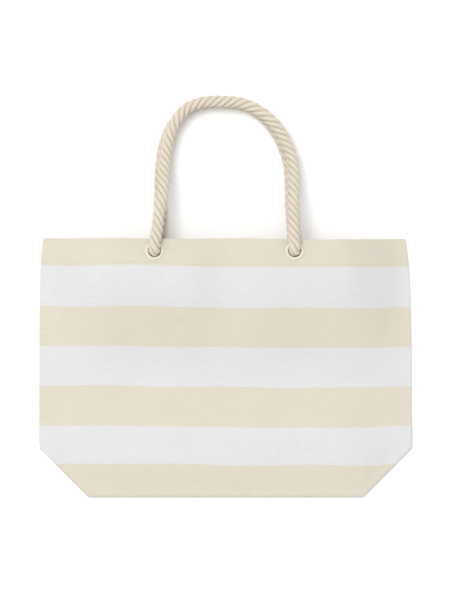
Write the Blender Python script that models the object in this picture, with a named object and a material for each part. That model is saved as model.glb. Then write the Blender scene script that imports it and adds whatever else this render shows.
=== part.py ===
"""Striped canvas beach bag with twisted rope handles, lying on its back on the floor.

Metres, +Z up, +Y from the base of the bag to its handles, origin at the bottom centre of its box.
Each panel is one cut of cloth that follows one path: the turned-in hem, over the rim, down the face,
round the bottom fold and back under the bag as half of the base, which lies folded in two beneath it.
"""
from math import cos, pi, sin

import bpy
import numpy as np

# Outline of the flattened bag
HALF_WIDTH = 0.270
RIM_HALF_WIDTH = 0.2605
RIM_TAPER = 0.045           # how fast the sides reach their full width below the rim
BAG_HEIGHT = 0.375
GUSSET = 0.140              # depth of the base when the bag stands open
BOTTOM_Y = -0.291
RIM_Y = BOTTOM_Y + BAG_HEIGHT
FLAP_Y = BOTTOM_Y + GUSSET / 2
BASE_HALF_LENGTH = HALF_WIDTH - GUSSET / 2
HEM_DEPTH = 0.0386

# Cloth layers
CLOTH = 0.0010
GAP = 0.0003                # clearance between pieces that touch on the real bag
LAYER = CLOTH + GAP
EDGE_STACK = 0.0049         # front face above back face where the sides are sewn
CROWN = 0.0100              # how far the empty front stands off the back, mid-body
CROWN_EDGE = 0.060          # width over which it rises from the side edges and the bottom fold
BACK_REST = 0.0006          # outer face of the back, mid-body
FLAP_LIFT = 0.0043          # outer face of the back where the folded base lies under it
FLAP_STEP_START, FLAP_STEP = 0.010, 0.040   # the step off the base: gap above it, and length
BACK_FLAP_MID = 2 * LAYER + 0.0002 + CLOTH / 2      # middle of the back's half of the base

# Seam allowances
SEAM_THICKNESS = 1.2 * CLOTH
SEAM_WIDTH = 0.010
SIDE_SEAM_INSET = 0.0045    # from the side edge
SIDE_SEAM_ENDS = 0.012, 0.004       # above the folded base and below the hem
BASE_SEAM_INSET, BASE_SEAM_END = 0.002, 0.008       # from the top of the flap and from its corner
CORNER_SEAM_INSET, CORNER_SEAM_START = 0.010, 0.012     # from the corner and from the bottom fold
SEAM_SPACE = 0.002          # between the bottom seam and the corner seams

# Mouth of the bag, held open by the four knots
BACK_FACE = 0.0193          # outer faces round the eyelets
FRONT_FACE = 0.0600
PLATEAU_INNER, PLATEAU_OUTER = 0.062, 0.155
PLATEAU_Y, SLOPE_END_Y = 0.043, -0.130
FRONT_SAG, BACK_SAG = 0.24, 0.75    # share of the lift lost midway between the handles

# Eyelets: radii and heights from the outer face of the cloth
EYELET_X = (-0.1025, 0.0985)
EYELET_Y = RIM_Y - 0.0181
BORE_R, BARREL_R, FLANGE_R, LIP_R = 0.0089, 0.0100, 0.01375, 0.0116
HOLE_R = BARREL_R + GAP + 0.0002    # hole in the cloth
FLANGE_TOP = 0.0020
LIP_TOP, LIP_BOTTOM = -0.0039, -0.0049
WASHER_R = 0.0135
ROUND_STEPS = 20

# Rope
ROPE_R = 0.0085
AXIS_RISE = 0.0108          # hinge axis above the outer face: the rope just clears the flange
KNOT_R, KNOT_HALF_LENGTH, KNOT_OFFSET = 0.0163, 0.0170, 0.0290
BEND_R = 0.0092
TAIL_START, TAIL_END = 0.0465, 0.058        # from the eyelet's axis
WHIPPING_CENTER, WHIPPING_HALF_LENGTH = TAIL_END - 0.006, 0.004
WHIPPING_R = ROPE_R + 0.0014
KNOT_Z = (FRONT_FACE + BACK_FACE) / 2
ROUTE_STEP = 0.015

# Centrelines of the two handles as they lie, from the left eyelet to the right one (x, y).
FRONT_ROUTE = (
    (-0.1025, 0.0659), (-0.1011, 0.0818), (-0.0992, 0.0947), (-0.0966, 0.1150), (-0.0931, 0.1352),
    (-0.0902, 0.1554), (-0.0887, 0.1857), (-0.0866, 0.2088), (-0.0830, 0.2262), (-0.0787, 0.2406),
    (-0.0729, 0.2529), (-0.0650, 0.2644), (-0.0549, 0.2731), (-0.0419, 0.2789), (-0.0289, 0.2818),
    (-0.0159, 0.2824), (0.0000, 0.2820), (0.0159, 0.2810), (0.0318, 0.2770), (0.0462, 0.2695),
    (0.0606, 0.2594), (0.0722, 0.2471), (0.0809, 0.2348), (0.0874, 0.2218), (0.0924, 0.2088),
    (0.0953, 0.1973), (0.0968, 0.1727), (0.0960, 0.1308), (0.0966, 0.1063), (0.0979, 0.0818),
    (0.0985, 0.0659),
)
BACK_ROUTE = (
    (-0.1025, 0.0659), (-0.0990, 0.0840), (-0.0955, 0.1010), (-0.0950, 0.1180), (-0.0962, 0.1360),
    (-0.0962, 0.1560), (-0.0952, 0.1860), (-0.0922, 0.2090), (-0.0880, 0.2270), (-0.0822, 0.2410),
    (-0.0745, 0.2535), (-0.0652, 0.2640), (-0.0549, 0.2718), (-0.0419, 0.2778), (-0.0289, 0.2808),
    (-0.0159, 0.2817), (0.0000, 0.2814), (0.0159, 0.2800), (0.0310, 0.2757), (0.0446, 0.2680),
    (0.0576, 0.2574), (0.0680, 0.2450), (0.0760, 0.2325), (0.0822, 0.2200), (0.0870, 0.2070),
    (0.0903, 0.1950), (0.0930, 0.1720), (0.0945, 0.1310), (0.0962, 0.1060), (0.0979, 0.0820),
    (0.0985, 0.0659),
)
FRONT_AXIS_Z = FRONT_FACE + AXIS_RISE
BACK_AXIS_Z = BACK_FACE - AXIS_RISE
LEG_LEVEL_Y, LEG_DOWN_Y = EYELET_Y + 0.022, 0.235
FRONT_ARCH_Z = BACK_AXIS_Z + 2 * ROPE_R + 0.0004


def ease(t):
    """Smooth step of t from 0 to 1."""
    t = np.clip(t, 0.0, 1.0)
    return t * t * (3.0 - 2.0 * t)


def material(name, color, roughness):
    made = bpy.data.materials.new(name)
    made.use_nodes = True
    shader = made.node_tree.nodes["Principled BSDF"]
    shader.inputs["Base Color"].default_value = (*color, 1.0)
    shader.inputs["Roughness"].default_value = roughness
    return made


def add_object(name, data, finish):
    made = bpy.data.objects.new(name, data)
    data.materials.append(finish)
    bpy.context.scene.collection.objects.link(made)
    return made


def add_mesh(name, points, faces, finish):
    mesh = bpy.data.meshes.new(name)
    mesh.from_pydata([tuple(p) for p in points], [], faces)
    mesh.update()
    return add_object(name, mesh, finish)


def hide_helper(helper):
    helper.hide_render = True
    helper.display_type = "WIRE"


# Shape of the two faces


def half_width(y):
    return HALF_WIDTH - (HALF_WIDTH - RIM_HALF_WIDTH) * np.exp((y - RIM_Y) / RIM_TAPER)


def fold_y(u):
    """Where column u of a panel reaches the bottom fold or the slanted corner."""
    return BOTTOM_Y + np.maximum(0.0, HALF_WIDTH * np.abs(u) - BASE_HALF_LENGTH)


def mouth_lift(x, y, sag):
    """1 where the knots hold the mouth open, less between the handles, 0 at the sides and low down."""
    inward = half_width(y) - np.abs(x)
    across = ease(inward / (RIM_HALF_WIDTH - PLATEAU_OUTER))
    middle = 1.0 - sag * (1.0 - ease(np.abs(x) / PLATEAU_INNER))
    down = ease((y - SLOPE_END_Y) / (PLATEAU_Y - SLOPE_END_Y))
    return across * middle * down


def rest_height(y):
    """Height of the back panel's outer face where nothing but the folded base is under it."""
    on_flap = 1.0 - ease((y - FLAP_Y - FLAP_STEP_START) / FLAP_STEP)
    return BACK_REST + (FLAP_LIFT - BACK_REST) * on_flap


def back_face(x, y):
    """Height of the outer, lower face of the back panel."""
    rest = rest_height(y)
    return rest + (BACK_FACE - rest) * mouth_lift(x, y, BACK_SAG)


def front_face(x, y):
    """Height of the outer, upper face of the front panel."""
    lift = mouth_lift(x, y, FRONT_SAG)
    above_fold = y - BOTTOM_Y - np.maximum(0.0, np.abs(x) - BASE_HALF_LENGTH)
    from_side = ease((half_width(y) - np.abs(x)) / CROWN_EDGE)
    from_fold = ease(above_fold / CROWN_EDGE)
    crown = CROWN * from_side * from_fold * (1.0 - lift)
    closed = rest_height(y) + EDGE_STACK
    return closed + crown + (FRONT_FACE - closed) * lift


def panel_columns():
    corner = BASE_HALF_LENGTH / HALF_WIDTH
    middle = np.linspace(-corner, corner, 25)
    side = np.linspace(corner, 1.0, 5)[1:]
    return np.concatenate([-side[::-1], middle, side])


def panel_points(face, inward, under_z):
    """Rows of points along one panel's path, one row across the bag at each step.

    face gives the outer face, inward is -1 where the inside of the bag is below it and +1 where it
    is above, and under_z is the middle of the cloth in the base half.
    """
    u = panel_columns()
    rows = []

    def lay(y, offset):
        y = np.broadcast_to(y, u.shape)
        x = u * half_width(y)
        rows.append(np.stack([x, y, face(x, y) + inward * (CLOTH / 2 + offset)], axis=1))

    turn = LAYER / 2
    turn_y = RIM_Y - CLOTH / 2 - turn
    for y in np.linspace(RIM_Y - HEM_DEPTH, turn_y, 4)[:-1]:
        lay(y, LAYER)
    for angle in np.linspace(0.0, pi, 5):
        lay(turn_y + turn * sin(angle), turn * (1.0 + cos(angle)))
    front_stack = FLAP_LIFT + EDGE_STACK - CLOTH
    fold_center = fold_y(u) + (front_stack + CLOTH) / 2
    for part in np.linspace(0.0, 1.0, 19)[1:]:
        lay(turn_y + (fold_center - turn_y) * part, 0.0)
    last = rows[-1]
    radius = (last[:, 2] - under_z) / 2
    for angle in np.linspace(0.0, pi, 6)[1:]:
        y = fold_center - radius * sin(angle)
        rows.append(np.stack([last[:, 0], y, under_z + radius * (1.0 + cos(angle))], axis=1))
    flap_end = np.maximum(FLAP_Y, fold_center + 0.003)
    for part in (0.5, 1.0):
        y = fold_center + (flap_end - fold_center) * part
        rows.append(np.stack([last[:, 0], y, np.full(u.shape, under_z)], axis=1))
    return np.array(rows)


def add_sheet(name, grid, finish):
    """A sheet of cloth along the grid of points, given its thickness evenly on both sides."""
    rows, columns = grid.shape[:2]
    at = np.arange(rows * columns).reshape(rows, columns)
    corners = np.stack([at[:-1, :-1], at[:-1, 1:], at[1:, 1:], at[1:, :-1]], axis=-1)
    made = add_mesh(name, grid.reshape(-1, 3), corners.reshape(-1, 4).tolist(), finish)
    thicken = made.modifiers.new("Thickness", "SOLIDIFY")
    thicken.thickness = CLOTH
    thicken.offset = 0.0
    return made


def add_eyelet_cutter(name, z):
    """Two drums that punch the holes for one panel's eyelets."""
    angles = np.arange(ROUND_STEPS) * 2 * pi / ROUND_STEPS
    reach = 0.008
    points, faces = [], []
    for x in EYELET_X:
        start = len(points)
        for level in (z - reach, z + reach):
            points += [(x + HOLE_R * cos(a), EYELET_Y + HOLE_R * sin(a), level) for a in angles]
        low = [start + i for i in range(ROUND_STEPS)]
        high = [start + ROUND_STEPS + i for i in range(ROUND_STEPS)]
        faces += [low[::-1], high]
        for i in range(ROUND_STEPS):
            j = (i + 1) % ROUND_STEPS
            faces.append((low[i], low[j], high[j], high[i]))
    cutter = add_mesh(name, points, faces, material(name, (0.5, 0.5, 0.5), 0.5))
    hide_helper(cutter)
    return cutter


def punch(panel, cutter):
    cut = panel.modifiers.new("Eyelet holes", "BOOLEAN")
    cut.operation = "DIFFERENCE"
    cut.solver = "EXACT"
    cut.object = cutter


# Seam allowances


def add_block(name, corners, finish):
    """A flat strip inside the folded base; corners run anticlockwise seen from above."""
    count = len(corners)
    low = LAYER
    points = [(x, y, z) for z in (low, low + SEAM_THICKNESS) for x, y in corners]
    faces = [tuple(range(count))[::-1], tuple(range(count, 2 * count))]
    for i in range(count):
        j = (i + 1) % count
        faces.append((i, j, count + j, count + i))
    return add_mesh(name, points, faces, finish)


def add_side_seam(name, side, finish):
    """The allowance inside one side edge, from the boxed corner up to the hem."""
    above_base, below_hem = SIDE_SEAM_ENDS
    levels = np.linspace(FLAP_Y + above_base, RIM_Y - HEM_DEPTH - below_hem, 14)
    points = []
    for y in levels:
        for inset in (SIDE_SEAM_INSET, SIDE_SEAM_INSET + SEAM_WIDTH):
            x = side * (half_width(y) - inset)
            low = back_face(x, y) + CLOTH + 3 * GAP
            points += [(x, y, low), (x, y, low + SEAM_THICKNESS)]
    faces = []
    for i in range(len(levels) - 1):
        a, b = 4 * i, 4 * i + 4
        faces += [(a, b, b + 2, a + 2), (a + 1, a + 3, b + 3, b + 1)]
        faces += [(a, a + 1, b + 1, b), (a + 2, b + 2, b + 3, a + 3)]
    end = 4 * (len(levels) - 1)
    faces += [(0, 2, 3, 1), (end, end + 1, end + 3, end + 2)]
    if side > 0:
        faces = [face[::-1] for face in faces]
    return add_mesh(name, points, faces, finish)


def add_base_seams(finish):
    half, high = BASE_HALF_LENGTH - BASE_SEAM_END, FLAP_Y - BASE_SEAM_INSET
    low = high - SEAM_WIDTH
    corners = ((-half, low), (half, low), (half, high), (-half, high))
    add_block("bottom_seam", corners, finish("bottom_seam"))
    start, end = BOTTOM_Y + CORNER_SEAM_START, low - SEAM_SPACE
    for name, side in (("left_corner_seam", -1), ("right_corner_seam", 1)):
        x = side * (BASE_HALF_LENGTH - CORNER_SEAM_INSET)
        left, right = x - SEAM_WIDTH / 2, x + SEAM_WIDTH / 2
        add_block(name, ((left, start), (right, start), (right, end), (left, end)), finish(name))


# Eyelets and other turned pieces


def add_turned(name, profile, center, axis, finish):
    """A closed profile of (radius, height) turned about an axis through center.

    axis is "Z" for an upright piece, "-Z" for one upside down, and "X" for one on its side.
    """
    points = []
    for i in range(ROUND_STEPS):
        a = 2 * pi * i / ROUND_STEPS
        for r, h in profile:
            if axis == "X":
                points.append((h, r * cos(a), r * sin(a)))
            elif axis == "-Z":
                points.append((r * cos(a), -r * sin(a), -h))
            else:
                points.append((r * cos(a), r * sin(a), h))
    count = len(profile)
    faces = []
    for i in range(ROUND_STEPS):
        j = (i + 1) % ROUND_STEPS
        for k in range(count):
            m = (k + 1) % count
            faces.append((i * count + k, j * count + k, j * count + m, i * count + m))
    made = add_mesh(name, points, faces, finish)
    made.data.shade_smooth()
    made.data.set_sharp_from_angle(angle=0.7)
    made.location = center
    return made


def eyelet_profile():
    """Flange, barrel and rolled lip, running up the bore and down the outside."""
    return (
        (BORE_R, LIP_BOTTOM + 0.0006), (BORE_R, 0.0008), (0.0097, 0.0017), (0.0110, FLANGE_TOP),
        (0.0126, 0.0016), (FLANGE_R, 0.0008), (0.0134, GAP), (BARREL_R, GAP),
        (BARREL_R, LIP_TOP), (0.0113, LIP_TOP), (LIP_R, (LIP_TOP + LIP_BOTTOM) / 2),
        (0.0112, LIP_BOTTOM), (0.0096, LIP_BOTTOM),
    )[::-1]


def washer_profile():
    top = -2 * CLOTH - 2 * GAP
    return (
        (BARREL_R + GAP, top - CLOTH), (WASHER_R, top - CLOTH),
        (WASHER_R, top), (BARREL_R + GAP, top),
    )


# Rope


def smooth_route(route, step):
    """Points about a step apart on a Catmull-Rom curve through the route."""
    p = np.array(route)
    p = np.concatenate([[2 * p[0] - p[1]], p, [2 * p[-1] - p[-2]]])
    t = np.linspace(0.0, 1.0, 12, endpoint=False)[:, None]
    pieces = []
    for a, b, c, d in zip(p[:-3], p[1:-2], p[2:-1], p[3:]):
        pieces.append(0.5 * (2 * b + (c - a) * t + (2 * a - 5 * b + 4 * c - d) * t ** 2
                             + (3 * b - a - 3 * c + d) * t ** 3))
    dense = np.concatenate(pieces + [p[-2:-1]])
    along = np.concatenate([[0.0], np.cumsum(np.linalg.norm(np.diff(dense, axis=0), axis=1))])
    wanted = np.linspace(0.0, along[-1], int(round(along[-1] / step)) + 1)
    return np.stack([np.interp(wanted, along, dense[:, k]) for k in range(3)], axis=1)


def front_handle_route():
    """The front handle leaves its eyelets level, then comes down onto the back handle."""
    return [
        (x, y, FRONT_AXIS_Z + (FRONT_ARCH_Z - FRONT_AXIS_Z)
         * ease((y - LEG_LEVEL_Y) / (LEG_DOWN_Y - LEG_LEVEL_Y)))
        for x, y in FRONT_ROUTE
    ]


def back_handle_route():
    return [(x, y, BACK_AXIS_Z) for x, y in BACK_ROUTE]


def add_rope(name, points, radii, finish):
    """A round tube of changing radius along the points, as a bevelled poly curve with filled caps."""
    curve = bpy.data.curves.new(name, "CURVE")
    curve.dimensions = "3D"
    curve.bevel_depth = ROPE_R
    curve.bevel_resolution = 3
    curve.use_fill_caps = True
    spline = curve.splines.new("POLY")
    spline.points.add(len(points) - 1)
    for point, place, radius in zip(spline.points, points, radii):
        point.co = (*place, 1.0)
        point.radius = radius / ROPE_R
    return add_object(name, curve, finish)


def add_handle(name, route, axis_z, finish):
    """A handle whose two ends are balls centred on the axis that it swings about."""
    line = smooth_route(route, ROUTE_STEP)
    radii = np.full(len(line), ROPE_R)
    angles = np.radians((14.0, 32.0, 52.0, 72.0))
    ends = []
    for place, inward in ((line[0], line[1]), (line[-1], line[-2])):
        direction = (place - inward) / np.linalg.norm(place - inward)
        ends.append([place + direction * ROPE_R * cos(a) for a in angles])
    ball = [ROPE_R * sin(a) for a in angles]
    points = np.concatenate([ends[0], line, ends[1][::-1]])
    made = add_rope(name, points, np.concatenate([ball, radii, ball[::-1]]), finish)
    pivot = bpy.data.objects.new(name + "_axis", None)
    pivot.location = (0.0, EYELET_Y, axis_z)
    bpy.context.scene.collection.objects.link(pivot)
    made.parent = pivot
    made.location = (0.0, -EYELET_Y, -axis_z)
    return made


def add_knot(name, x, toward, face_z, outward, finish):
    """Stub through the eyelet, tight bend, stopper knot and tail.

    toward is the side that the tail points to, and outward is +1 on the front and -1 on the back.
    """
    stub_top = face_z + outward * (FLANGE_TOP - GAP / 2)
    bend_start = face_z + outward * (LIP_BOTTOM - 0.0004)
    level = bend_start - outward * BEND_R
    points = [(0.0, stub_top, ROPE_R), (0.0, (stub_top + bend_start) / 2, ROPE_R)]
    for angle in np.linspace(0.0, pi / 2, 6):
        points.append((BEND_R * (1 - cos(angle)), bend_start - outward * BEND_R * sin(angle), ROPE_R))
    knot_start = KNOT_OFFSET - KNOT_HALF_LENGTH
    for part in np.linspace(-0.9, 0.9, 9):
        along = KNOT_OFFSET + KNOT_HALF_LENGTH * part
        radius = max(ROPE_R, KNOT_R * np.sqrt(1.0 - part ** 2))
        settle = ease((along - knot_start) / KNOT_HALF_LENGTH)
        points.append((along, level + (KNOT_Z - level) * settle, radius))
    points += [(TAIL_START, KNOT_Z, ROPE_R), (TAIL_END, KNOT_Z, ROPE_R)]
    line = [(x + toward * d, EYELET_Y, z) for d, z, _ in points]
    return add_rope(name, line, [r for _, _, r in points], finish)


def whipping_profile():
    inner, half = ROPE_R + GAP + 0.0001, WHIPPING_HALF_LENGTH
    return ((inner, -half), (WHIPPING_R, -half), (WHIPPING_R, half), (inner, half))


def main():
    for old in list(bpy.data.objects):
        bpy.data.objects.remove(old, do_unlink=True)

    canvas, cotton, thread = (0.79, 0.74, 0.63), (0.74, 0.66, 0.55), (0.80, 0.74, 0.64)
    lacquer, backing = (0.80, 0.76, 0.68), (0.78, 0.74, 0.66)

    front = add_sheet("front_panel", panel_points(front_face, -1.0, CLOTH / 2),
                      material("front_canvas", canvas, 0.9))
    back = add_sheet("back_panel", panel_points(back_face, 1.0, BACK_FLAP_MID),
                     material("back_canvas", canvas, 0.9))
    punch(front, add_eyelet_cutter("front_punch", FRONT_FACE))
    punch(back, add_eyelet_cutter("back_punch", BACK_FACE))

    for name, side in (("left_side_seam", -1), ("right_side_seam", 1)):
        add_side_seam(name, side, material(name, canvas, 0.9))
    add_base_seams(lambda name: material(name, canvas, 0.9))

    for face, face_z, outward in (("front", FRONT_FACE, 1), ("back", BACK_FACE, -1)):
        axis = "Z" if outward > 0 else "-Z"
        for side, x in zip(("left", "right"), EYELET_X):
            label = face + "_" + side
            toward = -outward if x > 0 else outward
            add_turned(label + "_eyelet", eyelet_profile(), (x, EYELET_Y, face_z), axis,
                       material(label + "_lacquer", lacquer, 0.35))
            add_turned(label + "_washer", washer_profile(), (x, EYELET_Y, face_z), axis,
                       material(label + "_backing", backing, 0.45))
            add_knot(label + "_knot", x, toward, face_z, outward,
                     material(label + "_cotton", cotton, 0.85))
            add_turned(label + "_whipping", whipping_profile(),
                       (x + toward * WHIPPING_CENTER, EYELET_Y, KNOT_Z), "X",
                       material(label + "_thread", thread, 0.8))

    add_handle("front_handle_rope", front_handle_route(), FRONT_AXIS_Z,
               material("front_rope", cotton, 0.85))
    add_handle("back_handle_rope", back_handle_route(), BACK_AXIS_Z,
               material("back_rope", cotton, 0.85))


main()
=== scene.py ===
import math

import bpy
import numpy as np
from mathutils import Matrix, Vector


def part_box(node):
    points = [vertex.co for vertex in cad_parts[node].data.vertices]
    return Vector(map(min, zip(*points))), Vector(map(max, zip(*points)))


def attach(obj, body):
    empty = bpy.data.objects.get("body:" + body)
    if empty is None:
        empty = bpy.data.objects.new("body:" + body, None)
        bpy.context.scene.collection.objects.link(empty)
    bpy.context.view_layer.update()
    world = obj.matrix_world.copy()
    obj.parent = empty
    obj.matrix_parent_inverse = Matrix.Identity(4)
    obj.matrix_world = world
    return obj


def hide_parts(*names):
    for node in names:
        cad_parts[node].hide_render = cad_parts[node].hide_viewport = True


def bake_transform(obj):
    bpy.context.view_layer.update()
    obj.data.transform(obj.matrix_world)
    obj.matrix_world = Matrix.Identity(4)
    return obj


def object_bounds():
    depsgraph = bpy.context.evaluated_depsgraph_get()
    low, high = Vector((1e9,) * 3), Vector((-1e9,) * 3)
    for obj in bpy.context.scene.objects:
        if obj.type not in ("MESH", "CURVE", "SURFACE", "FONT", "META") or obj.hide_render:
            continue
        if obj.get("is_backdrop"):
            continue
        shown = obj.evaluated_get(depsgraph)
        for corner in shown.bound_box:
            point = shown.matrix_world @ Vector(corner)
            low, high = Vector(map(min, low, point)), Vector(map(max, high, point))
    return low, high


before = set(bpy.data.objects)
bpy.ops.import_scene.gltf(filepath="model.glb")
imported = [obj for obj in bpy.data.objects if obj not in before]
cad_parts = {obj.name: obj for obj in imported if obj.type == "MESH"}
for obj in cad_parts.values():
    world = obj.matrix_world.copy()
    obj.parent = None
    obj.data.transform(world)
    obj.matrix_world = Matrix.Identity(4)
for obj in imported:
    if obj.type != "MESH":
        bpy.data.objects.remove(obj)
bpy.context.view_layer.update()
print("frame loaded:", len(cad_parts), "nodes")


# small tools


def ease(t):
    # smooth step: 3t^2 - 2t^3 between 0 and 1
    t = np.clip(t, 0.0, 1.0)
    return t * t * (3.0 - 2.0 * t)


def unit(v):
    # each vector over its own length
    return v / np.maximum(np.linalg.norm(v, axis=-1, keepdims=True), 1e-12)


def quadGrid(rows, columns, wrap=False):
    # corner numbers of the quads between neighbouring rows and columns of a grid
    at = np.arange(rows * columns).reshape(rows, columns)
    if wrap:
        at = np.concatenate([at, at[:, :1]], axis=1)
    a, b, c, d = at[:-1, :-1], at[:-1, 1:], at[1:, 1:], at[1:, :-1]
    return np.stack([a, b, c, d], axis=-1).reshape(-1, 4)


def meshFrom(name, points, quads, uv=None, uvName="cloth", smooth=True):
    # puts whole arrays into a mesh; uv holds one pair for each corner of each face
    mesh = bpy.data.meshes.new(name)
    quads = np.asarray(quads, np.int32)
    mesh.vertices.add(len(points))
    mesh.vertices.foreach_set("co", np.asarray(points, np.float32).ravel())
    mesh.loops.add(quads.size)
    mesh.loops.foreach_set("vertex_index", quads.ravel())
    mesh.polygons.add(len(quads))
    side = quads.shape[1]
    mesh.polygons.foreach_set("loop_start", np.arange(0, quads.size, side, dtype=np.int32))
    mesh.polygons.foreach_set("loop_total", np.full(len(quads), side, np.int32))
    mesh.update(calc_edges=True)
    if uv is not None:
        layer = mesh.uv_layers.new(name=uvName)
        layer.data.foreach_set("uv", np.asarray(uv, np.float32).ravel())
    mesh.polygons.foreach_set("use_smooth", np.full(len(quads), smooth))
    mesh.validate()
    made = bpy.data.objects.new(name, mesh)
    bpy.context.scene.collection.objects.link(made)
    return made


def addFaces(piece, triangles):
    # further faces on the points that a mesh already has; their UV stays at zero
    mesh = piece.data
    start, count = len(mesh.loops), len(mesh.polygons)
    mesh.loops.add(triangles.size)
    mesh.polygons.add(len(triangles))
    corners = np.zeros(start + triangles.size, np.int32)
    mesh.loops.foreach_get("vertex_index", corners)
    corners[start:] = triangles.ravel()
    mesh.loops.foreach_set("vertex_index", corners)
    starts = np.zeros(count + len(triangles), np.int32)
    totals = np.zeros(count + len(triangles), np.int32)
    mesh.polygons.foreach_get("loop_start", starts)
    mesh.polygons.foreach_get("loop_total", totals)
    starts[count:] = start + 3 * np.arange(len(triangles))
    totals[count:] = 3
    mesh.polygons.foreach_set("loop_start", starts)
    mesh.polygons.foreach_set("loop_total", totals)
    mesh.update(calc_edges=True)
    mesh.validate()


def setPointValue(piece, name, values):
    # one number for each point, which a material reads by name
    attribute = piece.data.attributes.new(name, "FLOAT", "POINT")
    attribute.data.foreach_set("value", np.asarray(values, np.float32).ravel())


def dress(piece, material, body):
    # gives a piece its finish, its slot and the body that it moves with
    piece.data.materials.append(material)
    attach(piece, body)
    return piece


# the bag's shape as it lies; its rim, its eyelets and the heights of its mouth come from the frame
bag = {
    "halfWidth": 0.270,
    "rimHalfWidth": 0.2605,
    "rimTaper": 0.045,
    "gusset": 0.140,
    "hemDepth": 0.0386,
    "edgeStack": 0.0049,
    "crown": 0.0100,
    "backRest": 0.0006,
    "flapLift": 0.0043,
    "plateauInner": 0.062,
    "plateauOuter": 0.155,
    "frontSag": 0.24,
    "backSag": 0.75,
    "cloth": 0.0009,
    "bottomY": -0.291,
    "flapStep": (0.010, 0.040),     # where the step off the folded base starts above it, and its length
    "sideSlope": 0.100,             # width over which the front rises from its side edges
    "foldSlope": 0.060,
    # each side: limit of its distance from the middle, how far the rim comes in, and over what length
    "leftSide": (0.2702, 0.0052, 0.045),
    "rightSide": (0.2684, 0.0086, 0.060),
    "plateauBelowRim": 0.041,       # the mouth is held open down to here
    "slopeEndBelowRim": 0.214,
}
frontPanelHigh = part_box("front_panel")[1]
bottomY, rimY = bag["bottomY"], frontPanelHigh.y
flapY = bottomY + bag["gusset"] / 2
baseHalf = bag["halfWidth"] - bag["gusset"] / 2
eyelets = {}
for face in ("front", "back"):
    for side in ("left", "right"):
        low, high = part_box(face + "_" + side + "_eyelet")
        eyelets[face, side] = ((low.x + high.x) / 2, (low.y + high.y) / 2)
eyeletY = eyelets["front", "left"][1]
eyeletX = (eyelets["front", "left"][0], eyelets["front", "right"][0])
frontFaceZ = frontPanelHigh.z
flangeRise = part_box("front_left_eyelet")[1].z - frontFaceZ
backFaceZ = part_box("back_left_eyelet")[0].z + flangeRise
outwardOf = {"front": 1.0, "back": -1.0}
faceZOf = {"front": frontFaceZ, "back": backFaceZ}
plateauY, slopeEndY = rimY - bag["plateauBelowRim"], rimY - bag["slopeEndBelowRim"]


def halfWidthAt(y):
    # the sides come in a little towards the rim, by an exponential
    drop = bag["halfWidth"] - bag["rimHalfWidth"]
    return bag["halfWidth"] - drop * np.exp((y - rimY) / bag["rimTaper"])


def aboveFold(x, y):
    # distance up the bag from the bottom fold, or from the slanted fold at the corners
    return y - bottomY - np.maximum(0.0, np.abs(x) - baseHalf)


def sideAt(y, sign):
    # where the left or right edge of the lying bag runs: a limit less an exponential towards the rim
    limit, drop, length = bag["leftSide"] if sign < 0 else bag["rightSide"]
    return limit - drop * np.exp((y - rimY) / length)


def mouthLift(x, y, sag):
    # 1 over the knots, less between the handles, 0 at the sides and low down: a product of smooth steps
    across = ease((halfWidthAt(y) - np.abs(x)) / (bag["rimHalfWidth"] - bag["plateauOuter"]))
    middle = 1.0 - sag * (1.0 - ease(np.abs(x) / bag["plateauInner"]))
    down = ease((y - slopeEndY) / (plateauY - slopeEndY))
    return across * middle * down


def restHeight(y):
    # height of the back over the floor: the folded base, then a smooth step down to the single cloth
    start, length = bag["flapStep"]
    onFlap = 1.0 - ease((y - flapY - start) / length)
    return bag["backRest"] + (bag["flapLift"] - bag["backRest"]) * onFlap


def waveSum(x, y, seed, count, shortest, longest):
    # a sum of sine waves of random direction, length and phase, scaled to about -1..1
    rng = np.random.default_rng(seed)
    total = np.zeros(np.broadcast(x, y).shape)
    for _ in range(count):
        angle, phase = rng.uniform(0, np.pi), rng.uniform(0, 2 * np.pi)
        length = shortest * (longest / shortest) ** rng.uniform()
        total += np.sin((x * np.cos(angle) + y * np.sin(angle)) * 2 * np.pi / length + phase)
    return total / math.sqrt(count)


def awayFromEyelets(x, y, near, far):
    # 0 within near of an eyelet and 1 beyond far
    share = np.ones(np.broadcast(x, y).shape)
    for eyeX in eyeletX:
        distance = np.hypot(x - eyeX, y - eyeletY)
        share = share * ease((distance - near) / (far - near))
    return share


wrinkles = {
    "seed": 7,
    "waves": 9,
    "height": 0.00042,
    "shortest": 0.045,
    "longest": 0.16,
    # both ends, depth and half width of each crease
    "creases": (
        ((-0.153, 0.079), (-0.120, 0.066), 0.00075, 0.0040),
        ((-0.144, 0.085), (-0.118, 0.074), 0.00060, 0.0032),
        ((-0.186, 0.079), (-0.166, 0.058), 0.00090, 0.0110),
        ((0.1235, 0.084), (0.1265, 0.052), 0.00085, 0.0050),
        ((0.116, 0.044), (0.150, 0.026), 0.00050, 0.0060),
        ((-0.096, 0.043), (-0.056, 0.031), 0.00050, 0.0050),
        ((-0.130, 0.048), (-0.165, 0.020), 0.00045, 0.0070),
        ((0.231, -0.015), (0.235, -0.062), 0.00080, 0.0100),
        ((-0.236, -0.020), (-0.228, -0.070), 0.00060, 0.0110),
        ((0.150, -0.010), (0.205, -0.060), 0.00110, 0.0220),
        ((-0.215, -0.140), (-0.180, -0.190), 0.00070, 0.0140),
    ),
}


def creased(x, y):
    # each crease is a Gaussian valley along a line, fading out at both ends
    total = np.zeros(np.broadcast(x, y).shape)
    for (x0, y0), (x1, y1), depth, wide in wrinkles["creases"]:
        length = math.hypot(x1 - x0, y1 - y0)
        ux, uy = (x1 - x0) / length, (y1 - y0) / length
        along = ((x - x0) * ux + (y - y0) * uy) / length
        off = (x - x0) * uy - (y - y0) * ux
        within = ease((along + 0.15) / 0.35) * ease((1.15 - along) / 0.35)
        total -= depth * within * np.exp(-(off / wide) ** 2)
    return total


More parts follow.
